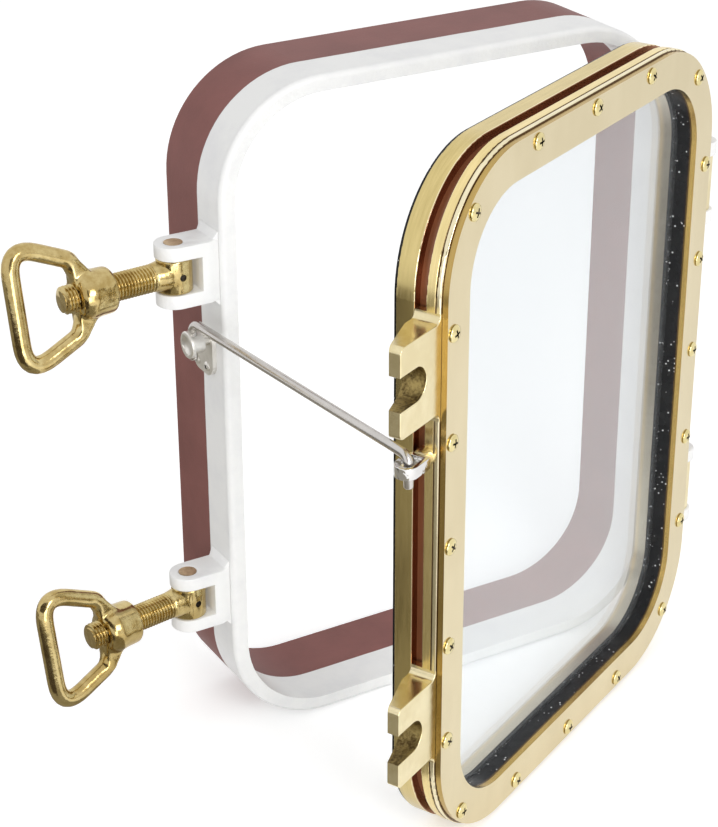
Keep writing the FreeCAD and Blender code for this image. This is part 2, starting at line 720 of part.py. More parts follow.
def make_ring_nut():
    """Ring nut: a round nut whose two arms open into a D-shaped grip."""
    half_turn = [
        (NUT_START + HANDLE_ROOT, HANDLE_ROOT_HALF, 0),
        (HANDLE_NEAR, HANDLE_NEAR_HALF, HANDLE_NEAR_BEND),
        (HANDLE_FAR, HANDLE_FAR_HALF, HANDLE_FAR_BEND),
    ]
    other_turn = [(x, -z, radius) for x, z, radius in reversed(half_turn)]
    corners = half_turn + other_turn
    points = [Vector(x, 0, z) for x, z, _ in corners]
    grip = bar_along(bent_line(points, [radius for _, _, radius in corners], False), HANDLE_BAR_RADIUS)
    nut_end = NUT_START + NUT_LENGTH
    body = fuse_all([
        grip,
        cone_on_x(NUT_RADIUS - NUT_CHAMFER, NUT_RADIUS, NUT_START, NUT_START + NUT_CHAMFER),
        along_x(NUT_RADIUS, 0, 0, NUT_START + NUT_CHAMFER, nut_end - NUT_CHAMFER),
        cone_on_x(NUT_RADIUS, NUT_RADIUS - NUT_CHAMFER, nut_end - NUT_CHAMFER, nut_end),
    ])
    bore = along_x(BOLT_RADIUS + RUNNING_CLEARANCE, 0, 0, NUT_START - OVERRUN, HANDLE_FAR - HANDLE_BAR_RADIUS)
    body = body.cut(bore)
    body.rotate(ORIGIN, Vector(1, 0, 0), HANDLE_ROLL)
    return body


def stay_screw_places():
    """Centres of the base plate's screws, as (y, z), with none under the swivel."""
    low_z = STAY_Z - STAY_PLATE_BELOW + STAY_SCREW_FAR_INSET
    high_z = low_z + STAY_PLATE_HEIGHT - 2 * STAY_SCREW_FAR_INSET
    near_y = STAY_PLATE_NEAR + STAY_SCREW_NEAR_INSET
    far_y = STAY_PLATE_NEAR + STAY_PLATE_WIDTH - STAY_SCREW_FAR_INSET
    return [(near_y, low_z), (far_y, low_z), (far_y, high_z)]


def make_stay_base():
    """Base plate on the spigot's side, bored for the swivel's stub."""
    plate = slab((STAY_PLATE_WIDTH / 2, STAY_PLATE_HEIGHT / 2, STAY_PLATE_CORNER), 0, STAY_PLATE_THICKNESS)
    plate.rotate(ORIGIN, UP, 90)
    plate.translate(Vector(
        -SPIGOT[0],
        STAY_PLATE_NEAR + STAY_PLATE_WIDTH / 2,
        STAY_Z - STAY_PLATE_BELOW + STAY_PLATE_HEIGHT / 2,
    ))
    bores = [(STAY_SCREW_RADIUS + THREAD_CLEARANCE, y, z) for y, z in stay_screw_places()]
    bores.append((SWIVEL_STUB_RADIUS + RUNNING_CLEARANCE, STAY_Y, STAY_Z))
    tools = []
    for radius, y, z in bores:
        tools.append(along_x(radius, y, z, STAY_PLATE_FACE - OVERRUN, -SPIGOT[0] + OVERRUN))
    return cut_all(plate, tools)


def make_stay_base_screws():
    """Screws that hold the base plate to the spigot."""
    screws = []
    for y, z in stay_screw_places():
        shank = along_x(STAY_SCREW_RADIUS, y, z, STAY_PLATE_FACE, -SPIGOT[0])
        head = along_x(STAY_SCREW_HEAD, y, z, STAY_PLATE_FACE - STAY_SCREW_HEAD_HEIGHT, STAY_PLATE_FACE)
        screws.append(fuse_all([shank, head]))
    return Part.makeCompound(screws)


def make_stay_swivel():
    """Swivel: a barrel drilled for the rod, with a cap and a stub in the plate."""
    barrel_from = STAY_X - SWIVEL_OUTER
    barrel_to = STAY_X + SWIVEL_INNER
    cap_from = barrel_from - SWIVEL_CAP_THICKNESS
    cap = along_x(SWIVEL_CAP_RADIUS, STAY_Y, STAY_Z, cap_from, barrel_from)
    outer_edge = [edge for edge in cap.Edges if edge.BoundBox.XMax < cap_from + RUNNING_CLEARANCE]
    body = fuse_all([
        cap.makeFillet(SWIVEL_CAP_ROUNDING, outer_edge),
        along_x(SWIVEL_RADIUS, STAY_Y, STAY_Z, barrel_from, barrel_to),
        along_x(SWIVEL_STUB_RADIUS, STAY_Y, STAY_Z, barrel_to, -SPIGOT[0] - SIDE_CLEARANCE),
    ])
    bore_from = STAY_Z - SWIVEL_CAP_RADIUS - OVERRUN
    bore_to = STAY_Z + SWIVEL_CAP_RADIUS + OVERRUN
    return body.cut(upright(ROD_RADIUS + RUNNING_CLEARANCE, STAY_X, STAY_Y, bore_from, bore_to))


def make_stay_rod():
    """Hook stay: a round rod with both ends bent down."""
    points = [
        Vector(STAY_X, STAY_Y, STAY_Z - ROD_FRAME_LEG),
        Vector(STAY_X, STAY_Y, STAY_Z + ROD_FRAME_TOP),
        hook_place(EYE_TOP_Z + HOOK_RISE),
        hook_place(EYE_TOP_Z - HOOK_LEG),
    ]
    return bar_along(bent_line(points, (0, ROD_BEND, ROD_BEND, 0), False), ROD_RADIUS)


def build_nodes():
    """Every node's solid or group of solids, by name, at rest."""
    nodes = {
        "spigot_frame": make_spigot_frame(),
        "sash_frame": opened(make_sash_frame()),
        "sash_seal": opened(make_sash_seal()),
        "retaining_ring": opened(make_retaining_ring()),
        "ring_screws": opened(make_ring_screws()),
        "glass_pane": opened(make_glass_pane()),
        "glazing_gasket_front": opened(make_front_gasket()),
        "glazing_gasket_rear": opened(make_rear_gasket()),
        "glass_setting_blocks": opened(make_setting_blocks()),
        "stay_eye": opened(make_stay_eye()),
        "stay_base": make_stay_base(),
        "stay_base_screws": make_stay_base_screws(),
        "stay_swivel": make_stay_swivel(),
        "stay_rod": make_stay_rod(),
    }
    for name, sign in SIDES:
        middle = sign * FITTING_Z
        nodes["bolt_clevis_" + name] = make_bolt_clevis(middle)
        nodes["bolt_pin_" + name] = make_bolt_pin(middle)
        nodes["hinge_bracket_" + name] = make_hinge_bracket(middle)
        nodes["hinge_pin_" + name] = make_hinge_pin(middle)
        nodes["hinge_knuckle_" + name] = opened(make_hinge_knuckle(middle))
        nodes["bolt_lug_" + name] = opened(make_bolt_lug(middle))
        nodes["swing_bolt_" + name] = bolt_frame(make_swing_bolt(), name, sign)
        nodes["bolt_grub_screw_" + name] = bolt_frame(make_grub_screw(), name, sign)
        nodes["ring_nut_" + name] = bolt_frame(make_ring_nut(), name, sign)
    return nodes


os.makedirs("parts", exist_ok=True)
for node_name, node_shape in build_nodes().items():
    node_shape.exportStep("parts/" + node_name + ".step")
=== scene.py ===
import json
import math
import random

import bmesh
import bpy
from mathutils import Matrix, Vector

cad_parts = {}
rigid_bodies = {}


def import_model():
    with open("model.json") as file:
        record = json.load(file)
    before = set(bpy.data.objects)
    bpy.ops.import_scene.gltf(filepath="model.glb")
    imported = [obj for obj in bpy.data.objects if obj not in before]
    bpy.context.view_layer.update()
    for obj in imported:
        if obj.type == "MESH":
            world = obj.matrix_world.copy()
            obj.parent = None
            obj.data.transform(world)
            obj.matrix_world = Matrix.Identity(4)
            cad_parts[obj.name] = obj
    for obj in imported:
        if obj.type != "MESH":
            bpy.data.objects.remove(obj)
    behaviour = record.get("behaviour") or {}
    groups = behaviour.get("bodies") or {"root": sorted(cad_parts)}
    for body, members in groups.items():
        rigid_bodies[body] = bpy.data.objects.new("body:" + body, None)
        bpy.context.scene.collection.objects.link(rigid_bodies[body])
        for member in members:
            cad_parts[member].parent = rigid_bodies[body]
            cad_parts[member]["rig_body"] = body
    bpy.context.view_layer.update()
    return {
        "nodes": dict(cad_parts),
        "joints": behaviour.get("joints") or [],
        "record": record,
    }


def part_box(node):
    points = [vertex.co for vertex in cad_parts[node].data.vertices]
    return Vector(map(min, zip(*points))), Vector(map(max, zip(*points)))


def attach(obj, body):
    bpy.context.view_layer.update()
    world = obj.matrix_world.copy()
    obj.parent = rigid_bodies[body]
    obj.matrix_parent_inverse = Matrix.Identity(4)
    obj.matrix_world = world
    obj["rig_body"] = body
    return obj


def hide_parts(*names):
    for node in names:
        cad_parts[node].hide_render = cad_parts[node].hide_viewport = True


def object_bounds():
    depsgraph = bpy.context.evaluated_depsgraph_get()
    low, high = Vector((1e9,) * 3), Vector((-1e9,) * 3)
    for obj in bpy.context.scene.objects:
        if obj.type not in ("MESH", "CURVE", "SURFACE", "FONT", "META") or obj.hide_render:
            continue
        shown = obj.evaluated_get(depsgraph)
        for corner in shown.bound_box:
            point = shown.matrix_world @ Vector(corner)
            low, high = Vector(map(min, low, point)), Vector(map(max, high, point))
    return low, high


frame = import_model()

SIDES = ("upper", "lower")

# Camera, solved from the photograph
PHOTO_LONG_SIDE = 827
FOCAL_PIXELS = 2148.75
SENSOR = 36.0
CAMERA_PLACE = Vector((-0.9715, -1.4969, 0.8519))
CAMERA_AZIMUTH = math.radians(30.23)
CAMERA_ELEVATION = math.radians(26.41)
CAMERA_ROLL = math.radians(-0.19)

# Studio
FLOOR_HALF = 30.0
FLOOR_DROP = 0.002
FLOOR_COLOUR = (0.93, 0.93, 0.93)
FLOOR_LIFT = 0.22
FLOOR_LIFT_SEEN = 0.34
WORLD_LIGHT = 0.72
CARD_COLOUR = (0.34, 0.32, 0.27)
CARD_LOW = Vector((-2.4, -0.8))
CARD_HIGH = Vector((-0.27, 1.3))
CARD_LIFT = 0.001
ROOM_COLOUR = (0.22, 0.20, 0.17)
ROOM_DISTANCE = 2.1
ROOM_HALF = 0.55
FLAG_COLOUR = (0.085, 0.070, 0.055)
FLAG_RIGHT = (-0.506, -0.205)
FLAG_LEFT = (-0.645, 0.05)
FLAG_LOW = -0.23
FLAG_HIGH = -0.03
KEY_PLACE = (-0.35, -2.65, 1.35)
KEY_POWER = 30
FILL_PLACE = (-0.9, -2.4, -0.05)
FILL_POWER = 15
LAMP_SIZE = 1.2

# Sizes in metres, as in the CAD model
PAINT_LINE_Y = 0.043
PAINT_LINE_WIDTH = 0.0006
ROUGH_RIM_Y = 0.006
BEAD_END = 0.010
FRONT_BAND_END = 0.0185
GROOVE_END = 0.0283
GLASS_BACK = 0.031
SASH_DEPTH = 0.045
SASH_HALF_WIDTH = 0.234
LUG_SLOT = 0.0284
FITTING_Z = 0.1585
SCREW_HEAD_RADIUS = 0.00775
SCREW_HEAD_HEIGHT = 0.0032
SCREW_HEAD_EDGE = 0.0007
SCREW_RADIUS = 0.004
SCREW_LENGTH = 0.015
RECESS_ARM = 0.0042
RECESS_HALF = 0.0010
RECESS_DEPTH = 0.0026
RING_SCREW_SIZE = 0.94
STAY_SCREW_SIZE = 0.6
CAP_RADIUS = 0.008
CAP_RECESS = 0.001
EYE_RADIUS = 0.0155
EYE_HALF_HEIGHT = 0.015
EYE_ROUNDING = 0.0015
PIN_HOLE_RADIUS = 0.00805
GRUB_HOLE_RADIUS = 0.00305
GRUB_HOLE_FLOOR = 0.0095
NECK_PROFILE = ((0.0, 0.0144), (0.009, 0.0142), (0.014, 0.0134), (0.019, 0.0124), (0.022, 0.012))
BOLT_LENGTH = 0.106
BOLT_CHAMFER = 0.002
THREAD_START = 0.021
THREAD_PITCH = 0.003
THREAD_DEPTH = 0.0017
THREAD_CREST = 0.12
THREAD_FLANK = 0.62
THREAD_RUN_OUT = 0.004
STEPS_PER_PITCH = 12
NUT_PROFILE = ((0.061, 0.0176), (0.0622, 0.0192), (0.064, 0.0199), (0.074, 0.0203), (0.083, 0.0214),
               (0.090, 0.0196), (0.0935, 0.0165))
GRIP_CORNERS = ((0.086, 0.012, 0.0), (0.094, 0.032, 0.010), (0.146, 0.055, 0.018))
GRIP_RADIUS = 0.0077
WEB_OUTLINE = ((0.078, 0.0190), (0.083, 0.0255), (0.090, 0.0345), (0.0995, 0.0352), (0.0955, 0.0260),
               (0.0950, 0.0))
WEB_HALF = 0.0082
GRIP_ROLL = math.radians(11.0)
CAST_VOXEL = 0.0012
CAST_SMOOTHING = 11
BORE_RADIUS = 0.01205
WELD_DISTANCE = 0.00001
FACE_MARGIN = 0.0003

# Widths of the rounded edges
CLEVIS_EDGE = 0.0018
BRACKET_EDGE = 0.0015
STAY_EYE_EDGE = 0.0019
STAY_ROD_EDGE = 0.0022
SWIVEL_EDGE = 0.0008


def joint_named(name):
    """The record of a joint."""
    return next(joint for joint in frame["joints"] if joint["name"] == name)


OPEN_ANGLE = math.radians(-joint_named("sash_swing")["range_deg"][0])
SASH_FRONT = Vector((math.sin(OPEN_ANGLE), -math.cos(OPEN_ANGLE), 0.0))
SASH_ACROSS = Vector((math.cos(OPEN_ANGLE), math.sin(OPEN_ANGLE), 0.0))
ring_low, ring_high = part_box("retaining_ring")
SASH_CENTRE = (ring_low + ring_high) / 2
SASH_FACE = max(vertex.co.dot(SASH_FRONT) for vertex in frame["nodes"]["retaining_ring"].data.vertices)


def make_material(name):
    """A new node material, as (material, nodes, links, shader)."""
    material = bpy.data.materials.new(name)
    material.use_nodes = True
    nodes = material.node_tree.nodes
    links = material.node_tree.links
    return material, nodes, links, nodes["Principled BSDF"]


def rest_position(nodes):
    """Coordinates of the surface in the object's own frame, in metres."""
    return nodes.new("ShaderNodeTexCoord").outputs["Object"]


def stretched(nodes, links, vector, scale, turn=0.0):
    """A vector turned about Z and then scaled along each axis."""
    mapping = nodes.new("ShaderNodeMapping")
    mapping.vector_type = "TEXTURE"
    mapping.inputs["Rotation"].default_value = (0.0, 0.0, turn)
    mapping.inputs["Scale"].default_value = scale
    links.new(vector, mapping.inputs["Vector"])
    return mapping.outputs["Vector"]


def noise(nodes, links, vector, scale, detail=3.0, roughness=0.5):
    """A noise texture's height."""
    node = nodes.new("ShaderNodeTexNoise")
    node.inputs["Scale"].default_value = scale
    node.inputs["Detail"].default_value = detail
    node.inputs["Roughness"].default_value = roughness
    links.new(vector, node.inputs["Vector"])
    return node.outputs["Fac"]


def ramp(nodes, links, value, stops):
    """A colour ramp from (position, colour) stops."""
    node = nodes.new("ShaderNodeValToRGB")
    elements = node.color_ramp.elements
    while len(elements) < len(stops):
        elements.new(0.5)
    for element, (position, colour) in zip(elements, stops):
        element.position = position
        element.color = (*colour, 1.0)
    links.new(value, node.inputs["Fac"])
    return node.outputs["Color"]


def spread(nodes, links, value, low, high):
    """A value from 0 to 1 spread over a range."""
    node = nodes.new("ShaderNodeMapRange")
    node.inputs["To Min"].default_value = low
    node.inputs["To Max"].default_value = high
    links.new(value, node.inputs["Value"])
    return node.outputs["Result"]


def calculate(nodes, links, operation, first, second):
    """One arithmetic step between sockets or numbers."""
    node = nodes.new("ShaderNodeMath")
    node.operation = operation
    for socket, value in zip(node.inputs, (first, second)):
        if isinstance(value, (int, float)):
            socket.default_value = value
        else:
            links.new(value, socket)
    return node.outputs["Value"]


def mix_colours(nodes, links, share, first, second):
    """One colour where the share is 0 and another where it is 1."""
    node = nodes.new("ShaderNodeMix")
    node.data_type = "RGBA"
    links.new(share, node.inputs["Factor"])
    links.new(first, node.inputs["A"])
    links.new(second, node.inputs["B"])
    return node.outputs["Result"]


def bump(nodes, links, height, shader, strength, distance):
    """Feeds a height into the shader's normal."""
    node = nodes.new("ShaderNodeBump")
    node.inputs["Strength"].default_value = strength
    node.inputs["Distance"].default_value = distance
    links.new(height, node.inputs["Height"])
    links.new(node.outputs["Normal"], shader.inputs["Normal"])


def metal(name, light, dark, roughness, patch_scale, grain, depth, stretch=(1.0, 1.0, 1.0), turn=0.0):
    """Bare metal whose tone drifts between two colours, with a fine, perhaps brushed, surface."""
    material, nodes, links, shader = make_material(name)
    place = rest_position(nodes)
    drawn = stretched(nodes, links, place, stretch, turn)
    patches = noise(nodes, links, place, patch_scale, 4.0)
    streaks = noise(nodes, links, drawn, patch_scale * 5.0, 4.0, 0.6)
    tone = calculate(nodes, links, "MULTIPLY", calculate(nodes, links, "ADD", patches, streaks), 0.5)
    links.new(ramp(nodes, links, tone, [(0.4, dark), (0.6, light)]), shader.inputs["Base Color"])
    shader.inputs["Metallic"].default_value = 1.0
    links.new(spread(nodes, links, streaks, *roughness), shader.inputs["Roughness"])
    bump(nodes, links, noise(nodes, links, drawn, grain, 3.0, 0.6), shader, 0.5, depth)
    return material


def layered_brass(name, layers):
    """Brass of the sash's edge, whose colour changes with the depth behind the ring's face, in bands that
    include painted shade lines and painted highlights.
    """
    material, nodes, links, shader = make_material(name)
    place = rest_position(nodes)
    ahead = nodes.new("ShaderNodeVectorMath")
    ahead.operation = "DOT_PRODUCT"
    ahead.inputs[1].default_value = SASH_FRONT
    links.new(place, ahead.inputs[0])
    depth = calculate(nodes, links, "SUBTRACT", SASH_FACE, ahead.outputs["Value"])
    share = calculate(nodes, links, "DIVIDE", depth, SASH_DEPTH)
    layer = nodes.new("ShaderNodeValToRGB")
    layer.color_ramp.interpolation = "CONSTANT"
    elements = layer.color_ramp.elements
    while len(elements) < len(layers):
        elements.new(0.5)
    for element, (start, colour) in zip(elements, layers):
        element.position = start / SASH_DEPTH
        element.color = (*colour, 1.0)
    links.new(share, layer.inputs["Fac"])
    drawn = stretched(nodes, links, place, (12.0, 1.0, 14.0), OPEN_ANGLE)
    streaks = noise(nodes, links, drawn, 420.0, 4.0, 0.6)
    patches = noise(nodes, links, place, 14.0, 4.0)
    tone = calculate(nodes, links, "MULTIPLY", calculate(nodes, links, "ADD", patches, streaks), 0.5)
    shade = ramp(nodes, links, tone, [(0.38, (0.84, 0.83, 0.78)), (0.6, (1.0, 1.0, 1.0))])
    product = nodes.new("ShaderNodeMix")
    product.data_type = "RGBA"
    product.blend_type = "MULTIPLY"
    product.inputs["Factor"].default_value = 1.0
    links.new(layer.outputs["Color"], product.inputs["A"])
    links.new(shade, product.inputs["B"])
    links.new(product.outputs["Result"], shader.inputs["Base Color"])
    # the groove is less metallic; its darker brown is partly tarnish and partly painted shade
    behind_band = calculate(nodes, links, "GREATER_THAN", depth, FRONT_BAND_END)
    before_end = calculate(nodes, links, "LESS_THAN", depth, GROOVE_END)
    in_groove = calculate(nodes, links, "MULTIPLY", behind_band, before_end)
    links.new(spread(nodes, links, in_groove, 1.0, 0.35), shader.inputs["Metallic"])
    links.new(spread(nodes, links, streaks, 0.16, 0.30), shader.inputs["Roughness"])
    bump(nodes, links, streaks, shader, 0.3, 0.00005)
    return material


def paint_tone(nodes, links, place):
    """White gloss paint with faintly greyer patches."""
    patches = noise(nodes, links, place, 26.0, 5.0, 0.6)
    return ramp(nodes, links, patches, [(0.3, (0.81, 0.81, 0.815)), (0.55, (0.875, 0.875, 0.865))])


def white_paint():
    """White gloss paint on cast and welded steel, lumpy at close range."""
    material, nodes, links, shader = make_material("white_paint")
    place = rest_position(nodes)
    links.new(paint_tone(nodes, links, place), shader.inputs["Base Color"])
    shader.inputs["Roughness"].default_value = 0.32
    bump(nodes, links, noise(nodes, links, place, 90.0, 5.0, 0.55), shader, 0.7, 0.0012)
    return material


def painted_steel():
    """White paint inboard and red primer outboard of one line round the spigot."""
    material, nodes, links, shader = make_material("painted_steel")
    place = rest_position(nodes)
    split = nodes.new("ShaderNodeSeparateXYZ")
    links.new(place, split.inputs["Vector"])
    wobble = calculate(nodes, links, "MULTIPLY", noise(nodes, links, place, 40.0, 2.0), 0.0012)
    depth = calculate(nodes, links, "ADD", split.outputs["Y"], wobble)
    edge = nodes.new("ShaderNodeMapRange")
    edge.inputs["From Min"].default_value = PAINT_LINE_Y
    edge.inputs["From Max"].default_value = PAINT_LINE_Y + PAINT_LINE_WIDTH
    links.new(depth, edge.inputs["Value"])
    patches = noise(nodes, links, place, 16.0, 5.0, 0.6)
    primer = ramp(nodes, links, patches, [(0.3, (0.180, 0.057, 0.048)), (0.7, (0.235, 0.078, 0.067))])
    paint = paint_tone(nodes, links, place)
    links.new(mix_colours(nodes, links, edge.outputs["Result"], paint, primer), shader.inputs["Base Color"])
    links.new(spread(nodes, links, edge.outputs["Result"], 0.30, 0.55), shader.inputs["Roughness"])
    fine = noise(nodes, links, place, 420.0, 4.0, 0.6)
    rough_rim = calculate(nodes, links, "LESS_THAN", split.outputs["Y"], ROUGH_RIM_Y)
    lumps = calculate(nodes, links, "MULTIPLY", noise(nodes, links, place, 120.0, 5.0, 0.7), rough_rim)
    layer = calculate(nodes, links, "MULTIPLY", edge.outputs["Result"], -0.35)
    height = calculate(nodes, links, "ADD", calculate(nodes, links, "MULTIPLY", fine, 0.2), lumps)
    bump(nodes, links, calculate(nodes, links, "ADD", height, layer), shader, 0.8, 0.0009)
    return material


def rubber(name):
    """Black rubber with a low gloss and a few pale specks of dust."""
    material, nodes, links, shader = make_material(name)
    place = rest_position(nodes)
    shades = noise(nodes, links, place, 80.0)
    tone = ramp(nodes, links, shades, [(0.3, (0.003, 0.003, 0.004)), (0.7, (0.010, 0.010, 0.010))])
    cells = nodes.new("ShaderNodeTexVoronoi")
    cells.inputs["Scale"].default_value = 210.0
    links.new(place, cells.inputs["Vector"])
    speck = calculate(nodes, links, "LESS_THAN", cells.outputs["Distance"], 0.16)
    drift = noise(nodes, links, place, 70.0, 2.0)
    dust = ramp(nodes, links, drift, [(0.5, (0.01, 0.01, 0.01)), (0.58, (0.8, 0.8, 0.8))])
    links.new(mix_colours(nodes, links, speck, tone, dust), shader.inputs["Base Color"])
    shader.inputs["Roughness"].default_value = 0.22
    shader.inputs["Specular IOR Level"].default_value = 0.25
    bump(nodes, links, noise(nodes, links, place, 150.0, 3.0), shader, 0.7, 0.0012)
    return material


def clear_glass():
    """Clear toughened glass with a slight cool tint."""
    material, nodes, links, shader = make_material("clear_glass")
    place = rest_position(nodes)
    haze = noise(nodes, links, place, 4.0, 2.0)
    tint = ramp(nodes, links, haze, [(0.3, (0.90, 0.935, 0.955)), (0.7, (0.935, 0.965, 0.98))])
    links.new(tint, shader.inputs["Base Color"])
    shader.inputs["Roughness"].default_value = 0.0
    shader.inputs["IOR"].default_value = 1.75
    shader.inputs["Transmission Weight"].default_value = 0.94
    return material


# painted shade: a dark line in the crevice where the ring meets the bead, on the sash and on the ring's edge
CREVICE_SHADE = (0.16, 0.095, 0.04)
STRIP = (0.55, 0.38, 0.13)
BAND = (0.72, 0.58, 0.26)
FRONT_BAND = (0.92, 0.75, 0.37)
# the groove: a darker brown, partly tarnish and partly painted shade of the deep slot
GROOVE = (0.31, 0.125, 0.060)
# the polished, rounded bead, painted paler cream as the highlight on its rounding
BEAD = (0.94, 0.85, 0.60)
# painted highlight: pale lines on the rounded edges of the bands beside the groove
BAND_EDGE_HIGHLIGHT = (0.95, 0.84, 0.55)
# painted shade: a thin dark line where the bead meets the front band
SHADE_LINE = (0.16, 0.10, 0.05)
SASH_LAYERS = ((0.0, STRIP), (0.0049, CREVICE_SHADE), (0.0056, BEAD), (BEAD_END - 0.0002, SHADE_LINE),
               (BEAD_END + 0.0004, FRONT_BAND), (FRONT_BAND_END - 0.0009, BAND_EDGE_HIGHLIGHT),
               (FRONT_BAND_END + 0.0002, GROOVE), (GROOVE_END + 0.0002, BAND_EDGE_HIGHLIGHT),
               (GROOVE_END + 0.0010, BAND))
RING_EDGE_LAYERS = ((0.0, STRIP), (0.0049, CREVICE_SHADE))

# Light tone, dark tone, roughness, size of the patches, grain and its depth, and perhaps a brushed direction
FACE_BRUSHING = ((2.0, 1.0, 7.0), OPEN_ANGLE)
INNER_BRUSHING = ((12.0, 1.0, 14.0), OPEN_ANGLE)
METALS = {
    "face_brass": ((0.755, 0.655, 0.435), (0.70, 0.60, 0.385), (0.14, 0.24), 9.0, 300.0, 0.00003,
                   *FACE_BRUSHING),
    "inner_brass": ((0.86, 0.80, 0.66), (0.80, 0.73, 0.58), (0.25, 0.40), 9.0, 300.0, 0.00003,
                    *INNER_BRUSHING),
    "cast_brass": ((0.66, 0.53, 0.255), (0.45, 0.325, 0.12), (0.10, 0.22), 26.0, 150.0, 0.0005),
    "lug_brass": ((0.87, 0.77, 0.50), (0.78, 0.67, 0.40), (0.18, 0.30), 20.0, 300.0, 0.00012),
    # slot_brass: rough as-cast brass, its dark tone partly painted shade inside the lugs' slots
    "slot_brass": ((0.44, 0.335, 0.13), (0.12, 0.08, 0.03), (0.38, 0.60), 90.0, 420.0, 0.0010),
    "screw_brass": ((0.82, 0.71, 0.38), (0.72, 0.60, 0.28), (0.10, 0.20), 60.0, 900.0, 0.00004),
    "pin_brass": ((0.66, 0.50, 0.31), (0.48, 0.34, 0.20), (0.28, 0.45), 60.0, 600.0, 0.0003),
    "stainless": ((0.64, 0.615, 0.59), (0.58, 0.555, 0.53), (0.20, 0.30), 16.0, 300.0, 0.00006),
    "bright_steel": ((0.78, 0.77, 0.76), (0.70, 0.69, 0.68), (0.05, 0.10), 16.0, 90.0, 0.0012),
    "satin_steel": ((0.86, 0.84, 0.80), (0.78, 0.76, 0.72), (0.40, 0.50), 40.0, 300.0, 0.0002),
    # painted shade: near-black steel for the grub screws and the screws' cross recesses, so they read as
    # deep holes
    "painted_shade_steel": ((0.06, 0.05, 0.04), (0.015, 0.012, 0.010), (0.2, 0.4), 200.0, 900.0, 0.0004),
}
MATERIALS = {
    "spigot": painted_steel(),
    "white_paint": white_paint(),
    "sash_brass": layered_brass("sash_brass", SASH_LAYERS),
    "ring_edge_brass": layered_brass("ring_edge_brass", RING_EDGE_LAYERS),
    "rubber": rubber("rubber"),
    "packing": rubber("packing"),
    "glass": clear_glass(),
}
for name, values in METALS.items():
    MATERIALS[name] = metal(name, *values)

NODE_MATERIALS = {
    "spigot_frame": "spigot",
    "sash_frame": "sash_brass",
    "retaining_ring": "face_brass",
    "glass_pane": "glass",
    "stay_base": "satin_steel",
    "stay_eye": "bright_steel",
    "sash_seal": "rubber",
    "glazing_gasket_front": "rubber",
    "glazing_gasket_rear": "rubber",
    "glass_setting_blocks": "packing",
}
SLOT_MATERIALS = {
    "painted_steel": "white_paint",
    "stainless_steel": "stainless",
    "cast_brass": "cast_brass",
    "polished_brass": "screw_brass",
}
for side in SIDES:
    NODE_MATERIALS["bolt_lug_" + side] = "lug_brass"
    NODE_MATERIALS["hinge_knuckle_" + side] = "lug_brass"
    NODE_MATERIALS["bolt_pin_" + side] = "pin_brass"
    NODE_MATERIALS["hinge_pin_" + side] = "pin_brass"
    # painted shade: the grub screw is near black, to read as a deep hole
    NODE_MATERIALS["bolt_grub_screw_" + side] = "painted_shade_steel"


SLOTS = {subpart["node"]: subpart["material_slot"] for subpart in frame["record"]["subparts"]}


def node_material(node):
    """The name of a CAD node's material."""
    return NODE_MATERIALS.get(node) or SLOT_MATERIALS[SLOTS[node]]


def dress_cad_nodes():
    """Gives every CAD node its material."""
    for node in SLOTS:
        data = frame["nodes"][node].data
        data.materials.clear()
        data.materials.append(MATERIALS[node_material(node)])


def dress_faces(node, material, chosen):
    """Gives some of a node's faces a second material: those whose depth, facing and place are chosen."""
    data = frame["nodes"][node].data
    data.materials.append(MATERIALS[material])
    for polygon in data.polygons:
        depth = SASH_FACE - polygon.center.dot(SASH_FRONT)
        facing = abs(polygon.normal.dot(SASH_FRONT))
        reach = polygon.center - SASH_CENTRE
        outward = polygon.normal.dot(reach)
        if chosen(depth, facing, outward, abs(polygon.center.z), abs(reach.dot(SASH_ACROSS))):
            polygon.material_index = len(data.materials) - 1


def new_piece(name, vertices, faces, material):
    """A piece of the object from points and faces, with its material."""
    piece = loose_object(name, vertices, faces)
    piece.data.materials.append(MATERIALS[material])
    return piece


def revolved(stations, radius_at, steps=48):
    """A closed surface round X: a ring of points at each station, and a point at both ends."""
    vertices = [(stations[0], 0.0, 0.0)]
    for station in stations:
        for step in range(steps):
            angle = 2 * math.pi * step / steps
            radius = radius_at(station, angle)
            vertices.append((station, radius * math.cos(angle), radius * math.sin(angle)))
    vertices.append((stations[-1], 0.0, 0.0))
    last = len(vertices) - 1
    faces = []
    for step in range(steps):
        following = (step + 1) % steps
        faces.append((0, 1 + following, 1 + step))
        end = last - steps
        faces.append((last, end + step, end + following))
        for row in range(len(stations) - 1):
            start = 1 + row * steps
            faces.append((start + step, start + following, start + steps + following, start + steps + step))
    return vertices, faces


def outlined(profile):
    """The radius at each station of a profile of (station, radius) points, with straight runs between."""
    def radius_at(station, angle):
        for (near, near_radius), (far, far_radius) in zip(profile, profile[1:]):
            if station <= far:
                return near_radius + (far_radius - near_radius) * (station - near) / (far - near)
        return profile[-1][1]
    return radius_at


def prism_faces(count):
    """Faces of a closed prism between two outlines of so many points, one after the other."""
    faces = [tuple(range(count)), tuple(reversed(range(count, 2 * count)))]
    for index in range(count):
        following = (index + 1) % count
        faces.append((following, index, count + index, count + following))
    return faces


def loose_object(name, vertices, faces, turn=None):
    """A bare mesh object."""
    mesh = bpy.data.meshes.new(name)
    mesh.from_pydata(vertices, [], faces)
    if turn:
        mesh.transform(turn)
    thing = bpy.data.objects.new(name, mesh)
    bpy.context.scene.collection.objects.link(thing)
    return thing


def settle(piece):
    """Applies a piece's modifiers to its mesh."""
    bpy.context.view_layer.update()
    graph = bpy.context.evaluated_depsgraph_get()
    made = bpy.data.meshes.new_from_object(piece.evaluated_get(graph), depsgraph=graph)
    piece.modifiers.clear()
    piece.data = made


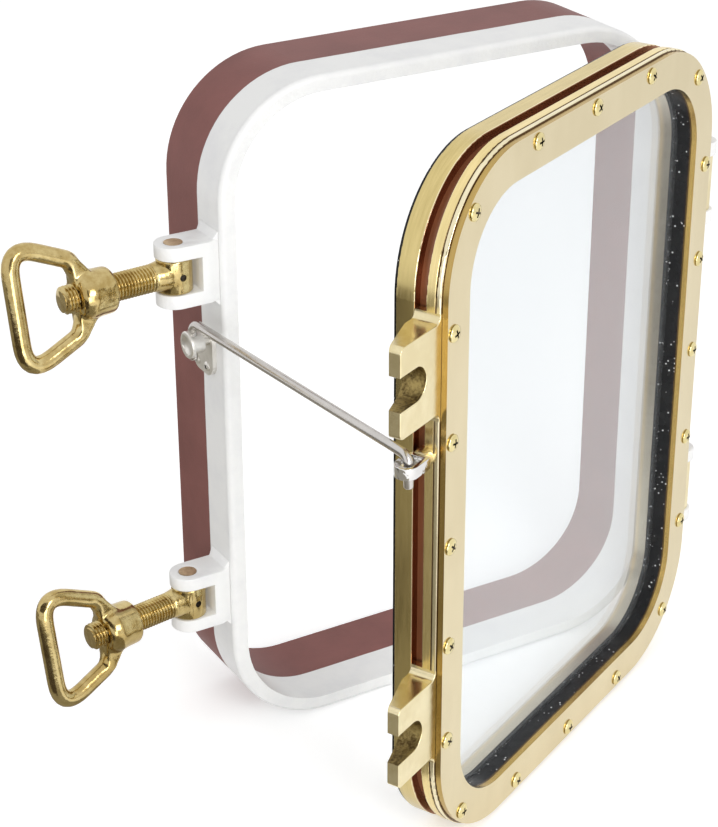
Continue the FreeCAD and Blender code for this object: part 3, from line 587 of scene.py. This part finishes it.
def combine(base, tool, operation):
    """Joins the tool to the base or cuts it out, and removes the tool."""
    modifier = base.modifiers.new("combine", "BOOLEAN")
    modifier.operation = operation
    modifier.solver = "EXACT"
    modifier.object = tool
    settle(base)
    bpy.data.objects.remove(tool)


def thread_radius(station, angle):
    """The bolt's radius with a helical thread that runs out into the neck and the tip."""
    neck = outlined(NECK_PROFILE)(station, angle)
    if station > BOLT_LENGTH - BOLT_CHAMFER:
        neck -= station - (BOLT_LENGTH - BOLT_CHAMFER)
    from_crest = abs(2 * ((station / THREAD_PITCH - angle / (2 * math.pi)) % 1.0) - 1)
    flank = min(1.0, max(0.0, (from_crest - THREAD_CREST) / THREAD_FLANK))
    fade = min(1.0, max(0.0, (station - THREAD_START) / THREAD_RUN_OUT))
    return neck - THREAD_DEPTH * flank * fade


def bolt_stations():
    """Stations along the bolt, close together over the thread."""
    neck = [0.0, 0.003, 0.006, 0.009, 0.0115, 0.014, 0.0165, 0.019]
    step = THREAD_PITCH / STEPS_PER_PITCH
    count = int((BOLT_LENGTH - THREAD_START) / step)
    return neck + [THREAD_START + step * index for index in range(count)] + [BOLT_LENGTH]


def rod_between(name, low, high, radius, axis, steps=48):
    """A plain round tool between two stations along an axis, for cutting a hole."""
    vertices, faces = revolved([low, high], lambda station, angle: radius, steps)
    turn = Vector((1, 0, 0)).rotation_difference(Vector(axis)).to_matrix().to_4x4()
    return loose_object(name, vertices, faces, turn)


def eye_profile():
    """The eye's outline from its lower face to its upper one, with rounded edges."""
    corner = [(math.sin(math.radians(turn)), math.cos(math.radians(turn))) for turn in (90, 60, 30, 0)]
    upper = [(EYE_HALF_HEIGHT - EYE_ROUNDING * (1 - along), EYE_RADIUS - EYE_ROUNDING * (1 - out))
             for along, out in reversed(corner)]
    return [(-station, radius) for station, radius in reversed(upper)] + upper


def add_swing_bolt(side):
    """Cast eye and neck in one with a threaded shank, drilled for its pin and grub screw."""
    vertices, faces = revolved(bolt_stations(), thread_radius)
    bolt = new_piece("threaded_bolt_" + side, vertices, faces, "cast_brass")
    profile = eye_profile()
    upright = Vector((1, 0, 0)).rotation_difference(Vector((0, 0, 1))).to_matrix().to_4x4()
    eye_points, eye_faces = revolved([station for station, radius in profile], outlined(profile))
    combine(bolt, loose_object("eye", eye_points, eye_faces, upright), "UNION")
    reach = 2 * EYE_RADIUS
    pin_hole = rod_between("pin_hole", -reach, reach, PIN_HOLE_RADIUS, (0, 0, 1))
    combine(bolt, pin_hole, "DIFFERENCE")
    grub_hole = rod_between("grub_hole", GRUB_HOLE_FLOOR, reach, GRUB_HOLE_RADIUS, (0, 1, 0), 24)
    combine(bolt, grub_hole, "DIFFERENCE")
    bolt.data.transform(bolt_frame(side))
    finish_mesh(bolt, "cast_brass")
    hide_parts("swing_bolt_" + side)
    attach(bolt, "bolt_" + side)


def finish_mesh(piece, material, sharp_angle=35.0):
    """Gives a piece smooth faces with sharp edges kept, and one material."""
    piece.data.materials.clear()
    piece.data.materials.append(MATERIALS[material])
    piece.data.shade_smooth()
    piece.data.set_sharp_from_angle(angle=math.radians(sharp_angle))


def soften(node, width, segments=3):
    """A copy of a CAD node with its sharp edges rounded, which stands for the node."""
    source = frame["nodes"][node]
    grid = bmesh.new()
    grid.from_mesh(source.data)
    bmesh.ops.remove_doubles(grid, verts=grid.verts, dist=WELD_DISTANCE)
    flat = math.radians(1.0)
    bmesh.ops.dissolve_limit(grid, angle_limit=flat, verts=grid.verts, edges=grid.edges)
    corner = math.radians(40.0)
    sharp = [edge for edge in grid.edges if edge.is_manifold and edge.calc_face_angle() > corner]
    bmesh.ops.bevel(grid, geom=sharp, offset=width, segments=segments, profile=0.5, affect="EDGES",
                    clamp_overlap=True)
    mesh = bpy.data.meshes.new("soft_" + node)
    grid.to_mesh(mesh)
    grid.free()
    piece = bpy.data.objects.new("soft_" + node, mesh)
    bpy.context.scene.collection.objects.link(piece)
    finish_mesh(piece, node_material(node))
    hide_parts(node)
    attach(piece, source["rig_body"])
    return piece


def lowest_corner(points):
    """The lowest corner of the points' box, as (z, x, y), which puts solids in a fixed order."""
    return tuple(round(min(point[axis] for point in points), 4) for axis in (2, 0, 1))


def islands(node):
    """The separate solids of a node, each as a list of points."""
    grid = bmesh.new()
    grid.from_mesh(frame["nodes"][node].data)
    bmesh.ops.remove_doubles(grid, verts=grid.verts, dist=WELD_DISTANCE)
    found = []
    left = set(grid.verts)
    while left:
        group = {left.pop()}
        edge = list(group)
        while edge:
            for link in edge.pop().link_edges:
                for vertex in link.verts:
                    if vertex in left:
                        left.discard(vertex)
                        group.add(vertex)
                        edge.append(vertex)
        found.append([vertex.co.copy() for vertex in group])
    grid.free()
    return sorted(found, key=lowest_corner)


def cross_recess():
    """A tapered four-armed punch, from the top of a screw's head inwards along X."""
    outline = []
    arm = ((RECESS_HALF, RECESS_HALF), (RECESS_HALF, RECESS_ARM), (-RECESS_HALF, RECESS_ARM))
    for quarter in range(4):
        turn = math.pi / 2 * quarter
        for across, along in arm:
            outline.append((across * math.cos(turn) - along * math.sin(turn),
                            across * math.sin(turn) + along * math.cos(turn)))
    top = SCREW_HEAD_HEIGHT + 0.0004
    vertices = [(top, 1.1 * y, 1.1 * z) for y, z in outline]
    vertices += [(SCREW_HEAD_HEIGHT - RECESS_DEPTH, 0.45 * y, 0.45 * z) for y, z in outline]
    return vertices, prism_faces(len(outline))


def recessed(polygon):
    """Whether a face of the screw lies in its cross recess."""
    out = Vector((0.0, polygon.center.y, polygon.center.z))
    return out.length < RECESS_ARM * 1.2 and (polygon.normal.x < 0.7 or out.length < RECESS_ARM * 0.3)


def screw_profile():
    """Shank, undercut head and dome, from the shank's end to the top of the head."""
    rise = SCREW_HEAD_HEIGHT - SCREW_HEAD_EDGE
    dome = []
    for turn in (0, 12, 26, 42, 58, 74, 88):
        angle = math.radians(turn)
        dome.append((SCREW_HEAD_EDGE + rise * math.sin(angle), SCREW_HEAD_RADIUS * math.cos(angle)))
    return [(-SCREW_LENGTH + SCREW_HEAD_HEIGHT, SCREW_RADIUS), (-0.0001, SCREW_RADIUS),
            (0.0, SCREW_HEAD_RADIUS - 0.0005)] + dome


def add_screws(name, node, front, across, size, material):
    """Cross-recessed screws in place of a node's plain ones, each turned its own way, as one piece."""
    profile = screw_profile()
    vertices, faces = revolved([station for station, radius in profile], outlined(profile), 32)
    screw = loose_object("screw", vertices, faces)
    combine(screw, loose_object("punch", *cross_recess()), "DIFFERENCE")
    points = [vertex.co * size for vertex in screw.data.vertices]
    polygons = [tuple(polygon.vertices) for polygon in screw.data.polygons]
    in_recess = [recessed(polygon) for polygon in screw.data.polygons]
    bpy.data.objects.remove(screw)
    turns = random.Random(7)
    up = Vector((0, 0, 1))
    basis = Matrix((front, front.cross(up), up)).transposed().to_4x4()
    all_points, all_faces, all_dark = [], [], []
    for solid in islands(node):
        top = max(point.dot(front) for point in solid)
        spans = [point.dot(across) for point in solid]
        heights = [point.z for point in solid]
        seat = front * (top - SCREW_HEAD_HEIGHT * size) + across * (max(spans) + min(spans)) / 2
        seat.z = (max(heights) + min(heights)) / 2
        place = Matrix.Translation(seat) @ basis @ Matrix.Rotation(turns.uniform(0, math.pi / 2), 4, "X")
        start = len(all_points)
        all_points += [place @ point for point in points]
        all_faces += [tuple(start + index for index in polygon) for polygon in polygons]
        all_dark += in_recess
    screws = new_piece(name, all_points, all_faces, material)
    finish_mesh(screws, material, 30.0)
    # painted shade: the faces in each cross recess are near black
    screws.data.materials.append(MATERIALS["painted_shade_steel"])
    for polygon, dark in zip(screws.data.polygons, all_dark):
        polygon.material_index = int(dark)
    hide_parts(node)
    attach(screws, frame["nodes"][node]["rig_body"])


def rounded_line(corners, steps=8):
    """Points along a line in X and Z whose corners are rounded to their own radii."""
    points = []
    for index, (along, up, bend) in enumerate(corners):
        here = Vector((along, 0.0, up))
        if bend == 0.0:
            points.append(here)
            continue
        back = (Vector((corners[index - 1][0], 0.0, corners[index - 1][1])) - here).normalized()
        ahead = (Vector((corners[index + 1][0], 0.0, corners[index + 1][1])) - here).normalized()
        reach = bend / math.tan(back.angle(ahead) / 2)
        start, end = here + back * reach, here + ahead * reach
        for step in range(steps + 1):
            share = step / steps
            points.append(start * (1 - share) ** 2 + here * 2 * share * (1 - share) + end * share ** 2)
    return points


def bar(points, radius, steps=24):
    """A round bar along points in the XZ plane, closed at both ends."""
    vertices = []
    for index, point in enumerate(points):
        tangent = points[min(index + 1, len(points) - 1)] - points[max(index - 1, 0)]
        side = tangent.normalized().cross(Vector((0, 1, 0)))
        for step in range(steps):
            angle = 2 * math.pi * step / steps
            thick = Vector((0, radius * math.sin(angle), 0))
            vertices.append(point + side * (radius * math.cos(angle)) + thick)
    faces = [tuple(range(steps)), tuple(reversed(range(len(vertices) - steps, len(vertices))))]
    for row in range(len(points) - 1):
        for step in range(steps):
            following = (step + 1) % steps
            near, far = row * steps, (row + 1) * steps
            faces.append((near + following, near + step, far + step, far + following))
    return vertices, faces


def plate(outline, half):
    """A plate round an outline in X and Z, as thick as twice a half."""
    vertices = [(along, -half, up) for along, up in outline]
    vertices += [(along, half, up) for along, up in outline]
    return vertices, prism_faces(len(outline))


def bolt_frame(side):
    """Turn and place of a swing bolt: X runs along it from its pin, Z is up."""
    joint = joint_named("handle_turn_" + side)
    along = Vector(joint["axis"]).normalized()
    up = Vector((0, 0, 1))
    turn = Matrix((along, up.cross(along), up)).transposed().to_4x4()
    return Matrix.Translation(Vector(joint["pos_m"])) @ turn


def add_ring_nut(side):
    """Cast nut whose arms spread through a web into the D-shaped grip, all blended together."""
    corners = list(GRIP_CORNERS)
    corners += [(along, -up, bend) for along, up, bend in reversed(GRIP_CORNERS)]
    parts = [bar(rounded_line(corners), GRIP_RADIUS)]
    parts.append(revolved([station for station, radius in NUT_PROFILE], outlined(NUT_PROFILE)))
    web = list(WEB_OUTLINE) + [(along, -up) for along, up in reversed(WEB_OUTLINE[:-1])]
    parts.append(plate(web, WEB_HALF))
    vertices, faces = [], []
    for part_vertices, part_faces in parts:
        start = len(vertices)
        vertices += part_vertices
        faces += [tuple(start + index for index in face) for face in part_faces]
    nut = new_piece("cast_ring_nut_" + side, vertices, faces, "cast_brass")
    remesh = nut.modifiers.new("blend", "REMESH")
    remesh.mode = "VOXEL"
    remesh.voxel_size = CAST_VOXEL
    smooth = nut.modifiers.new("soften", "SMOOTH")
    smooth.factor = 0.5
    smooth.iterations = CAST_SMOOTHING
    settle(nut)
    bore = rod_between("bore", 0.0, GRIP_CORNERS[-1][0] - 2 * GRIP_RADIUS, BORE_RADIUS, (1, 0, 0))
    combine(nut, bore, "DIFFERENCE")
    nut.data.transform(bolt_frame(side) @ Matrix.Rotation(GRIP_ROLL, 4, "X"))
    finish_mesh(nut, "cast_brass", 50.0)
    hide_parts("ring_nut_" + side)
    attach(nut, "handle_" + side)


def add_swivel():
    """The stay's swivel with softened edges and a recess in its cap."""
    swivel = soften("stay_swivel", SWIVEL_EDGE)
    centre = Vector(joint_named("stay_lift")["pos_m"])
    centre.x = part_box("stay_swivel")[0].x
    tool = rod_between("cap_recess", -CAP_RECESS, CAP_RECESS, CAP_RADIUS, (1, 0, 0))
    tool.data.transform(Matrix.Translation(centre))
    combine(swivel, tool, "DIFFERENCE")
    finish_mesh(swivel, "satin_steel")


def add_camera():
    """Camera at the photograph's place, turned and rolled as it was."""
    azimuth, elevation = CAMERA_AZIMUTH, CAMERA_ELEVATION
    level = math.cos(elevation)
    ahead = Vector((math.sin(azimuth) * level, math.cos(azimuth) * level, -math.sin(elevation)))
    right = Vector((math.cos(azimuth), -math.sin(azimuth), 0.0))
    down = ahead.cross(right)
    rolled_right = right * math.cos(CAMERA_ROLL) - down * math.sin(CAMERA_ROLL)
    rolled_down = right * math.sin(CAMERA_ROLL) + down * math.cos(CAMERA_ROLL)
    turn = Matrix((rolled_right, -rolled_down, -ahead)).transposed()
    data = bpy.data.cameras.new("camera")
    data.sensor_fit = "AUTO"
    data.sensor_width = SENSOR
    data.lens = FOCAL_PIXELS / PHOTO_LONG_SIDE * SENSOR
    data.clip_start = 0.05
    data.clip_end = 50.0
    camera = bpy.data.objects.new("camera", data)
    camera.matrix_world = Matrix.Translation(CAMERA_PLACE) @ turn.to_4x4()
    bpy.context.scene.collection.objects.link(camera)
    bpy.context.scene.camera = camera


def seen_directly(nodes, links):
    """1 for rays from the camera, or by way of metal or glass, and 0 for the rest."""
    path = nodes.new("ShaderNodeLightPath")
    glossy, through = path.outputs["Is Glossy Ray"], path.outputs["Is Transmission Ray"]
    mirrored = calculate(nodes, links, "ADD", glossy, through)
    total = calculate(nodes, links, "ADD", path.outputs["Is Camera Ray"], mirrored)
    return calculate(nodes, links, "MINIMUM", total, 1.0)


def stage_sheet(name, corners):
    """A flat sheet between four corners that isn't part of the object."""
    sheet = loose_object(name, corners, [(0, 1, 2, 3)])
    return sheet


def level_corners(low, high, level):
    """The corners of a level rectangle."""
    return [(low.x, low.y, level), (high.x, low.y, level), (high.x, high.y, level), (low.x, high.y, level)]


def add_floor(height):
    """Pale floor just under the object, lifted to white where it is seen, with the object's shadow on it."""
    corner = Vector((FLOOR_HALF, FLOOR_HALF))
    floor = stage_sheet("floor", level_corners(-corner, corner, height))
    material, nodes, links, shader = make_material("floor")
    shader.inputs["Base Color"].default_value = (*FLOOR_COLOUR, 1)
    shader.inputs["Roughness"].default_value = 0.9
    shader.inputs["Emission Color"].default_value = (1, 1, 1, 1)
    path = nodes.new("ShaderNodeLightPath")
    lift = calculate(nodes, links, "MULTIPLY", seen_directly(nodes, links), FLOOR_LIFT)
    more = calculate(nodes, links, "MULTIPLY", path.outputs["Is Camera Ray"], FLOOR_LIFT_SEEN - FLOOR_LIFT)
    links.new(calculate(nodes, links, "ADD", lift, more), shader.inputs["Emission Strength"])
    floor.data.materials.append(material)


def add_dark_card(name, corners, colour):
    """A dark card in the studio, which only shows in the metal."""
    card = stage_sheet(name, corners)
    material, nodes, links, shader = make_material(name)
    shader.inputs["Base Color"].default_value = (0, 0, 0, 1)
    shader.inputs["Specular IOR Level"].default_value = 0.0
    shader.inputs["Emission Color"].default_value = (*colour, 1)
    shader.inputs["Emission Strength"].default_value = 1.0
    card.data.materials.append(material)
    card.visible_camera = False
    card.visible_diffuse = False
    card.visible_transmission = False
    card.visible_shadow = False


def add_cards(height):
    """A card on the floor at the left, one where the room is dark, in front, and a flag by each handle."""
    level = height + CARD_LIFT
    add_dark_card("floor_card", level_corners(CARD_LOW, CARD_HIGH, level), CARD_COLOUR)
    centre = CAMERA_PLACE.normalized() * ROOM_DISTANCE
    side = centre.cross(Vector((0, 0, 1))).normalized() * ROOM_HALF
    up = side.cross(centre).normalized() * ROOM_HALF
    room_corners = [centre - side - up, centre + side - up, centre + side + up, centre - side + up]
    add_dark_card("room_card", room_corners, ROOM_COLOUR)
    for side, middle in (("upper", FITTING_Z), ("lower", -FITTING_Z)):
        bottom = max(middle + FLAG_LOW, level)
        top = middle + FLAG_HIGH
        flag_corners = [(*FLAG_RIGHT, bottom), (*FLAG_LEFT, bottom), (*FLAG_LEFT, top), (*FLAG_RIGHT, top)]
        add_dark_card("flag_" + side, flag_corners, FLAG_COLOUR)


def add_world():
    """Even studio light, white where it is seen."""
    world = bpy.data.worlds.new("studio")
    bpy.context.scene.world = world
    world.use_nodes = True
    nodes, links = world.node_tree.nodes, world.node_tree.links
    background = nodes["Background"]
    background.inputs["Color"].default_value = (1, 1, 1, 1)
    strength = spread(nodes, links, seen_directly(nodes, links), WORLD_LIGHT, 1.0)
    links.new(strength, background.inputs["Strength"])


def add_lamp(name, place, power):
    """A square soft lamp aimed at the spigot's middle."""
    data = bpy.data.lights.new(name, "AREA")
    data.shape = "SQUARE"
    data.size = LAMP_SIZE
    data.energy = power
    lamp = bpy.data.objects.new(name, data)
    lamp.location = place
    lamp.rotation_euler = (-Vector(place)).to_track_quat("-Z", "Y").to_euler()
    bpy.context.scene.collection.objects.link(lamp)


def on_ring_edge(depth, facing, outward, height, across):
    """Whether a face of the ring belongs to its edges."""
    return facing < 0.5


def in_rear_opening(depth, facing, outward, height, across):
    """Whether a face of the sash lies in the opening behind the glass."""
    return depth > GLASS_BACK and outward < 0


def on_side_boss(depth, facing, outward, height, across):
    """Whether a face of the sash stands out past its sides."""
    return across > SASH_HALF_WIDTH + FACE_MARGIN


def in_slot(depth, facing, outward, height, across):
    """Whether a face of a lug lies inside its slot."""
    return facing < 0.5 and abs(height - FITTING_Z) < LUG_SLOT / 2 + FACE_MARGIN


add_camera()
dress_cad_nodes()
dress_faces("retaining_ring", "ring_edge_brass", on_ring_edge)
dress_faces("sash_frame", "inner_brass", in_rear_opening)
dress_faces("sash_frame", "lug_brass", on_side_boss)
for side in SIDES:
    # the slot's faces get darker brass, partly painted shade in the slot
    dress_faces("bolt_lug_" + side, "slot_brass", in_slot)
    add_swing_bolt(side)
    add_ring_nut(side)
    soften("bolt_clevis_" + side, CLEVIS_EDGE)
    soften("hinge_bracket_" + side, BRACKET_EDGE)
soften("stay_eye", STAY_EYE_EDGE, 4)
soften("stay_rod", STAY_ROD_EDGE, 4)
add_swivel()
add_screws("cross_head_screws", "ring_screws", SASH_FRONT, SASH_ACROSS, RING_SCREW_SIZE, "screw_brass")
to_left = Vector((-1, 0, 0))
outboard = Vector((0, 1, 0))
add_screws("stay_screws", "stay_base_screws", to_left, outboard, STAY_SCREW_SIZE, "satin_steel")
frame["nodes"]["glass_pane"].visible_shadow = False
floor_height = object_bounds()[0].z - FLOOR_DROP
add_floor(floor_height)
add_cards(floor_height)
add_world()
add_lamp("key", KEY_PLACE, KEY_POWER)
add_lamp("fill", FILL_PLACE, FILL_POWER)
bpy.context.scene.view_settings.view_transform = "Standard"
